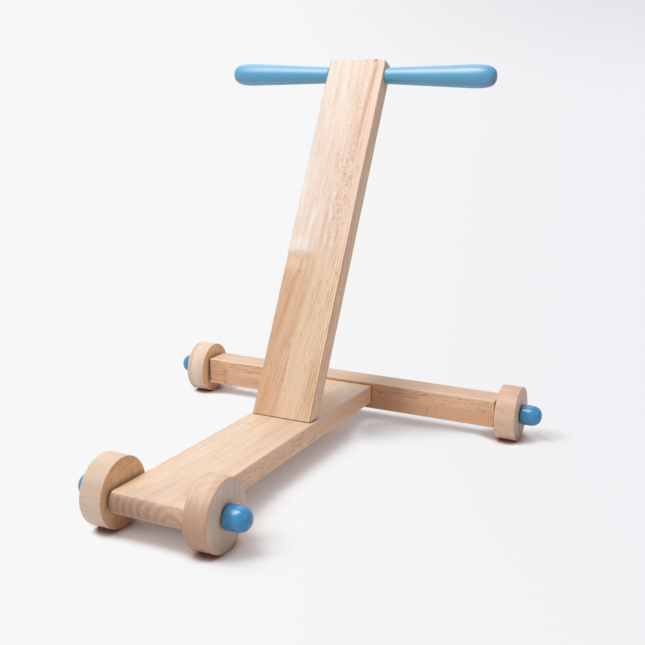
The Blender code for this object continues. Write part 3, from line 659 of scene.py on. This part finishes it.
# wheels: discs cut from plank, each turned its own way
wheelWood = plainWood | {
    "pith": (60 * mm, 30 * mm), "ringGap": 11 * mm, "ringDepth": 0.05, "endDark": 0.0, "endRings": 0.10,
    "pale": tint(243, 216, 193), "warm": tint(231, 195, 166), "poreDepth": 0.15,
    "toneStretch": (40.0, 40.0, 12.0), "streakStretch": (160.0, 160.0, 14.0), "streakDepth": 0.14,
    "fibreDepth": 0.12, "fibreStretch": (420.0, 420.0, 30.0), "bump": 0.08, "rough": 0.42, "gloss": 0.5,
    "wornRim": (1.9 * mm, 0.5 * mm), "wornFace": (11.4 * mm, 12.6 * mm),
    "wornDepth": 0.5, "wornColour": tint(232, 182, 136),
    # the dusk is painted shade on the tread's front-low side
    "duskLine": (-0.78, -0.62), "duskRange": (-0.25, 0.95),
    "duskDepth": 0.2, "duskColour": tint(206, 160, 128),
    "arcHeart": (46 * mm, 16 * mm), "arcGap": 10 * mm, "arcWobble": 1.5, "arcStretch": (38.0,) * 3,
    "arcFrom": (-30 * mm, 20 * mm), "arcDepth": 0.2, "arcColour": tint(196, 150, 118),
    # painted shade on the faces' lower part
    "lowFrom": 12 * mm, "lowDepth": 0.12, "lowColour": tint(176, 140, 118),
}
# growth layers across the axle
layered = {"turn": (0.0, 0.0, radians(-90)), "grainLine": (0.0, 0.0, 1.0), "toneStretch": (14.0, 95.0, 9.0),
           "streakStretch": (22.0, 300.0, 16.0), "fibreStretch": (60.0, 700.0, 40.0)}
slanted = {"turn": (0.0, radians(116), 0.0), "grainLine": (0.9, 0.0, -0.44)}
# the left wheels' faces are honey: partly wood colour, partly painted warm light bounced off the deck onto
# their inner faces
honeyFace = {"facePale": tint(252, 208, 164), "faceWarm": tint(240, 190, 142)}
greyFace = {"facePale": tint(242, 214, 196), "faceWarm": tint(228, 196, 176)}
wheelSets = {
    "front_left": alongX | honeyFace | {
        "seed": 21.0, "streakDepth": 0.24, "fibreDepth": 0.2,
        "pale": tint(243, 221, 202), "warm": tint(229, 200, 176)},
    "front_right": layered | greyFace | {
        "seed": 24.0, "pale": tint(238, 207, 182), "warm": tint(223, 183, 153), "lowDepth": 0.3,
        "duskDepth": 0.7, "duskColour": tint(190, 144, 116),
        "arcDepth": 0.3, "arcColour": tint(188, 156, 138)},
    "rear_left": layered | honeyFace | {
        "seed": 27.0, "wander": 24 * mm, "duskDepth": 0.0, "streakDepth": 0.3,
        "pale": tint(244, 219, 197), "warm": tint(222, 183, 152)},
    "rear_right": slanted | greyFace | {
        "seed": 33.0, "streakDepth": 0.40, "pale": tint(230, 193, 166), "warm": tint(217, 175, 145),
        "duskDepth": 0.6, "duskColour": tint(250, 218, 192), "lowDepth": 0.8},
}


def wheelLook(name, centre, rim, wheelSet):
    wood = wheelWood | wheelSet | {"place": centre}
    bench, grain = startWood(name, wood)
    layGrain(grain)
    side = grain["side"]
    colour = bench.blend(grain["tone"], wood["pale"], wood["warm"])
    face = bench.blend(grain["tone"], wood["facePale"], wood["faceWarm"])
    colour = bench.blend(side, colour, face)
    x, y, z = (value - middle for value, middle in zip(bench.parts(grain["spot"]), centre))
    worn = bench.ease(bench.length(bench.triple(y, z, 0.0)), *(rim - inset for inset in wood["wornRim"]))
    colour = tinge(bench, colour, worn * bench.ease(abs(x), *wood["wornFace"]), wood, "worn")
    # painted shade on the tread's front and lower side; on the rear right wheel it is paler there, painted
    # light
    turnedTo = bench.dot(bench.triple(0.0, y, z), (0.0, *(value / rim for value in wood["duskLine"])))
    dusk = bench.ease(turnedTo, *wood["duskRange"]) * (1 - side)
    colour = tinge(bench, colour, dusk, wood, "dusk")
    heart = wood["arcHeart"]
    arc = bench.length(bench.triple(y - heart[0], z - heart[1], 0.0)) / wood["arcGap"]
    wobble = bench.noise(grain["spot"], wood["arcStretch"], (wood["seed"], 1.0, 2.0), 2.0)
    arc = arc + wood["arcWobble"] * wobble
    arc = (0.5 + 0.5 * bench.sum("COSINE", arc * (2 * pi))) * side * bench.ease(y, *wood["arcFrom"])
    colour = tinge(bench, colour, arc, wood, "arc")
    # painted shade on the lower part of the faces, towards the floor
    lowShade = bench.ease(z, wood["lowFrom"], -rim) * side
    colour = tinge(bench, colour, lowShade, wood, "low")
    return finishWood(grain, colour)


# dowels: plain straight-grained rod
dowelWood = plainWood | alongX | {
    "place": (0.0, 0.0, 0.0), "sideLine": (0.0, 1.0, 0.0), "seed": 15.0, "gloss": 0.35,
    "pale": tint(238, 210, 176), "warm": tint(222, 186, 146),
}


def dowelLook():
    bench, grain = startWood("dowel_wood", dowelWood)
    layGrain(grain)
    return finishWood(grain, bench.blend(grain["tone"], dowelWood["pale"], dowelWood["warm"]))


# paint: brushed-out satin blue on the grips, deeper and smoother on the caps
plainPaint = {
    "cloudStretch": (55.0,) * 3, "cloudRange": (0.3, 0.7), "cloudDepth": 0.6, "cloudRough": 0.02,
    "speckStretch": (260.0,) * 3, "speckRough": 0.03,
    "brushStretch": (12.0, 160.0, 160.0), "brushDepth": 0.03, "brushHeight": 0.2,
    # the lee is painted shade on the lower right of each piece
    "leeLine": (0.80, 0.25, -0.55), "leeRange": (0.15, 1.0), "bump": 0.008, "bumpReach": 0.2 * mm,
}
gripPaint = plainPaint | {
    "name": "grip_paint", "main": tint(66, 177, 225), "deep": tint(62, 170, 218),
    "rough": 0.40, "gloss": 0.96, "density": 1.68, "shine": (1.0, 0.72, 0.55, 1.0),
    "leeShade": tint(30, 104, 150), "leeShadeDepth": 0.95,
}
capPaint = plainPaint | {
    "name": "cap_paint", "main": tint(43, 149, 204), "deep": tint(38, 140, 195),
    "rough": 0.27, "gloss": 0.8, "density": 1.5, "shine": (1.0, 0.95, 0.92, 1.0),
    "leeShade": tint(22, 92, 138), "leeShadeDepth": 0.5,
}


def paintLook(paint):
    look, bench, shader = newLook(paint["name"], Specular_IOR_Level=paint["gloss"], IOR=paint["density"],
                                  Specular_Tint=paint["shine"])
    spot = bench.spot()
    cloud = bench.ease(bench.noise(spot, paint["cloudStretch"], (1.0, 2.0, 3.0), 3.0), *paint["cloudRange"])
    speck = bench.noise(spot, paint["speckStretch"], (4.0, 5.0, 6.0), 2.0)
    brush = bench.noise(spot, paint["brushStretch"], (7.0, 8.0, 9.0), 2.0)
    colour = bench.blend(cloud * paint["cloudDepth"], paint["main"], paint["deep"])
    # painted shade on the right of each piece, low down
    leeShade = bench.ease(bench.dot(spot.twin("Normal"), paint["leeLine"]), *paint["leeRange"])
    colour = bench.blend(leeShade * paint["leeShadeDepth"], colour, paint["leeShade"])
    colour = bench.scale(colour, 1 + (brush - 0.5) * paint["brushDepth"])
    rough = paint["rough"] + (speck - 0.5) * paint["speckRough"] + (cloud - 0.5) * paint["cloudRough"]
    height = speck + brush * paint["brushHeight"]
    bench.feed(shader, {"Base Color": colour, "Roughness": rough,
                        "Normal": bench.bump(paint["bump"], paint["bumpReach"], height)})
    return look


nylon = {"stretch": (1400.0,) * 3, "dark": tint(28, 27, 28), "pale": tint(44, 42, 42), "rough": 0.45,
         "speckRough": 0.2, "bump": 0.15, "bumpReach": 0.2 * mm}


def nylonLook():
    look, bench, shader = newLook("nylon", Specular_IOR_Level=0.4)
    speck = bench.noise(bench.spot(), nylon["stretch"], (1.0, 1.0, 1.0), 2.0)
    bench.feed(shader, {"Base Color": bench.blend(speck, nylon["dark"], nylon["pale"]),
                        "Roughness": nylon["rough"] + speck * nylon["speckRough"],
                        "Normal": bench.bump(nylon["bump"], nylon["bumpReach"], speck)})
    return look


steel = {"cloudStretch": (180.0,) * 3, "scratchStretch": (120.0, 2600.0, 2600.0), "cool": tint(178, 180, 184),
         "warm": tint(205, 204, 200), "rough": 0.28, "scratchRough": 0.2, "bump": 0.1, "bumpReach": 0.2 * mm}


def steelLook():
    look, bench, shader = newLook("steel", Metallic=1.0)
    spot = bench.spot()
    cloud = bench.noise(spot, steel["cloudStretch"], (3.0, 1.0, 2.0), 3.0)
    scratch = bench.noise(spot, steel["scratchStretch"], (0.0, 1.0, 0.0), 2.0)
    bench.feed(shader, {"Base Color": bench.blend(cloud, steel["cool"], steel["warm"]),
                        "Roughness": steel["rough"] + scratch * steel["scratchRough"],
                        "Normal": bench.bump(steel["bump"], steel["bumpReach"], scratch)})
    return look


looks = {"deck_wood": deckLook(), "bar_wood": barLook(), "post_wood": postLook(), "dowel_wood": dowelLook(),
         "grip_paint": paintLook(gripPaint), "cap_paint": paintLook(capPaint), "nylon": nylonLook(),
         "steel": steelLook()}
print("materials made:", ", ".join(looks))


def keepPiece(piece, node, body):
    bpy.context.collection.objects.link(piece)
    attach(piece, body)
    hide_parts(node)


def plainMesh(blank, name):  # a node-made or modified object as one plain mesh
    graph = bpy.context.evaluated_depsgraph_get()
    mesh = bpy.data.meshes.new_from_object(blank.evaluated_get(graph))
    mesh.name = name
    bpy.data.objects.remove(blank)
    return mesh


# boards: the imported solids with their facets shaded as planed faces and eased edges
boards = {"deck_board": "deck_wood", "crossbar": "bar_wood", "post": "post_wood"}
boardFinish = {"weld": 0.01 * mm, "sharpAngle": radians(34), "faceWeight": 100}


def makeBoard(node, slot):
    shape = bmesh.new()
    shape.from_mesh(nodes[node].data)
    bmesh.ops.remove_doubles(shape, verts=shape.verts, dist=boardFinish["weld"])
    mesh = bpy.data.meshes.new(node + "_blank")
    shape.to_mesh(mesh)
    shape.free()
    mesh.shade_smooth()
    mesh.set_sharp_from_angle(angle=boardFinish["sharpAngle"])
    mesh.materials.clear()
    mesh.materials.append(looks[slot])
    blank = bpy.data.objects.new(node + "_blank", mesh)
    bpy.context.collection.objects.link(blank)
    weighted = blank.modifiers.new("planed", "WEIGHTED_NORMAL")
    weighted.keep_sharp = True
    weighted.weight = boardFinish["faceWeight"]
    keepPiece(bpy.data.objects.new(node + "_wood", plainMesh(blank, node + "_wood")), node, "frame")


for node, slot in boards.items():
    makeBoard(node, slot)
print("boards dressed")


def newTree(name, sizes):  # a turning tree with its named inputs
    tree = bpy.data.node_groups.new(name, "GeometryNodeTree")
    for size, kind in sizes.items():
        tree.interface.new_socket(name=size, in_out="INPUT", socket_type=kind)
    tree.interface.new_socket(name="Geometry", in_out="OUTPUT", socket_type="NodeSocketGeometry")
    return tree


turning = {"stages": 6, "weld": 0.002 * mm}


def spinProfile(tree, profile):  # sweeps a profile of radius and height about the X axis
    bench = Bench(tree)
    given = bench.add("NodeGroupInput")
    sheet = bench.add("GeometryNodeMeshGrid", None, {
        "Size X": 1.0, "Size Y": 1.0, "Vertices X": given.twin("Turns"), "Vertices Y": given.twin("Rows")})
    place = bench.parts(bench.add("GeometryNodeInputPosition"))
    angle = (place[0] + 0.5) * (2 * pi)
    step = (place[1] + 0.5) * turning["stages"]
    radius, height = profile(bench, given, lambda first: bench.clamp(step - first))
    spot = bench.triple(given.twin("Start X") + height * given.twin("Side"),
                        given.twin("Axle Y") + radius * bench.sum("COSINE", angle),
                        given.twin("Axle Z") + radius * bench.sum("SINE", angle))
    swept = bench.add("GeometryNodeSetPosition", None, {"Geometry": sheet, "Position": spot})
    closed = bench.add("GeometryNodeMergeByDistance", None, {"Geometry": swept, "Distance": turning["weld"]})
    smooth = bench.add("GeometryNodeSetShadeSmooth", None, {"Geometry": closed})
    real = bench.add("GeometryNodeRealizeInstances", None, {"Geometry": smooth})
    coated = bench.add("GeometryNodeSetMaterial", None, {"Geometry": real, "Material": given.twin("Look")})
    bench.add("NodeGroupOutput", None, {"Geometry": coated})


placing = {"Turns": "NodeSocketInt", "Rows": "NodeSocketInt", "Start X": "NodeSocketFloat",
           "Side": "NodeSocketFloat", "Axle Y": "NodeSocketFloat", "Axle Z": "NodeSocketFloat",
           "Look": "NodeSocketMaterial"}


def discProfile(bench, given, stage):  # face, eased edge, tread, eased edge, face, bore
    edge, bore = given.twin("Edge"), given.twin("Bore")
    lean = (stage(1) + stage(3) - 1) * (pi / 2)
    radius = bore + (given.twin("Radius") - edge - bore) * (stage(0) - stage(4)) \
        + edge * bench.sum("COSINE", lean)
    tread = (given.twin("Width") - edge * 2) * stage(2)
    height = (edge + edge * bench.sum("SINE", lean) + tread) * (1 - stage(5))
    return radius, height


def bulletProfile(bench, given, stage):  # socket floor, socket wall, end face, eased rim, taper, dome
    rim, neck, socket, dome = (given.twin(name) for name in ("Rim", "Neck", "Socket", "Dome"))
    bulge = 2 / given.twin("Fullness")
    curve = stage(5) * (pi / 2)
    roll = stage(3) * (pi / 2)
    radius = stage(0) * socket + stage(2) * (neck - rim - socket) + rim * bench.sum("SINE", roll) \
        + stage(4) * (given.twin("Radius") - neck)
    radius = radius * bench.sum("MAXIMUM", bench.sum("COSINE", curve), 0.0) ** bulge
    height = given.twin("Depth") * (1 - stage(1)) + rim * (1 - bench.sum("COSINE", roll)) \
        + stage(4) * (given.twin("Length") - dome - rim) + dome * bench.sum("SINE", curve) ** bulge
    return radius, height


def profileTree(name, profile, sizes):
    tree = newTree(name, placing | {size: "NodeSocketFloat" for size in sizes})
    spinProfile(tree, profile)
    return tree


discTree = profileTree("turned disc", discProfile, ("Radius", "Bore", "Width", "Edge"))
bulletTree = profileTree("turned bullet", bulletProfile,
                         ("Radius", "Neck", "Rim", "Length", "Dome", "Fullness", "Socket", "Depth"))


def makeTurned(tree, name, sizes):
    blank = bpy.data.objects.new(name + "_blank", bpy.data.meshes.new(name + "_blank"))
    bpy.context.collection.objects.link(blank)
    turned = blank.modifiers.new("turning", "NODES")
    turned.node_group = tree
    for socket in tree.interface.items_tree:
        if socket.in_out == "INPUT":
            turned[socket.identifier] = sizes[socket.name]
    mesh = plainMesh(blank, name)
    shape = bmesh.new()
    shape.from_mesh(mesh)
    bmesh.ops.recalc_face_normals(shape, faces=shape.faces)
    shape.to_mesh(mesh)
    shape.free()
    return bpy.data.objects.new(name, mesh)


def turnedPlace(node, lengthName):  # where a turned piece starts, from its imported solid
    low, high = (Vector(corner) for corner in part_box(node))
    middle = (low + high) / 2
    side = 1.0 if middle.x > 0 else -1.0
    start = min(abs(low.x), abs(high.x)) * side
    return {"Start X": start, "Side": side, "Axle Y": middle.y, "Axle Z": middle.z,
            "Radius": (high.z - low.z) / 2, lengthName: high.x - low.x}


# wheels: grain turned its own way in each
wheel = {"Bore": 4.4 * mm, "Edge": 1.2 * mm, "Turns": 193, "Rows": 97}
for corner, wheelSet in wheelSets.items():
    node = corner + "_wheel"
    sizes = turnedPlace(node, "Width") | wheel
    centre = (sizes["Start X"] + sizes["Side"] * sizes["Width"] / 2, sizes["Axle Y"], sizes["Axle Z"])
    sizes["Look"] = wheelLook(corner + "_wheel_wood", centre, sizes["Radius"], wheelSet)
    keepPiece(makeTurned(discTree, node + "_disc", sizes), node, corner + "_roller")

# caps: short bullets pressed on the axle ends
cap = {"Neck": 13.0 * mm, "Rim": 1.2 * mm, "Dome": 14.5 * mm, "Fullness": 2.4, "Socket": 4.3 * mm,
       "Depth": 15 * mm, "Turns": 129, "Rows": 97, "Look": looks["cap_paint"]}
for corner in wheelSets:
    node = corner + "_cap"
    sizes = turnedPlace(node, "Length") | cap
    keepPiece(makeTurned(bulletTree, node + "_bullet", sizes), node, "frame")

# grips: long clubs that swell towards their round ends
grip = {"Neck": 10.4 * mm, "Rim": 1.5 * mm, "Dome": 30 * mm, "Fullness": 3.2, "Socket": 6.3 * mm,
        "Depth": 32 * mm, "Turns": 129, "Rows": 145, "Look": looks["grip_paint"]}
for node in ("left_grip", "right_grip"):
    sizes = turnedPlace(node, "Length") | grip
    keepPiece(makeTurned(bulletTree, node + "_club", sizes), node, "frame")
print("wheels, caps and grips turned")


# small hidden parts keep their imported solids
for row in frame["record"]["subparts"]:
    part = nodes[row["node"]]
    if row["material_slot"] in ("nylon", "steel", "dowel_wood"):
        for slot in part.material_slots:
            slot.material = looks[row["material_slot"]]
print("washers, axles, screws and dowels dressed")
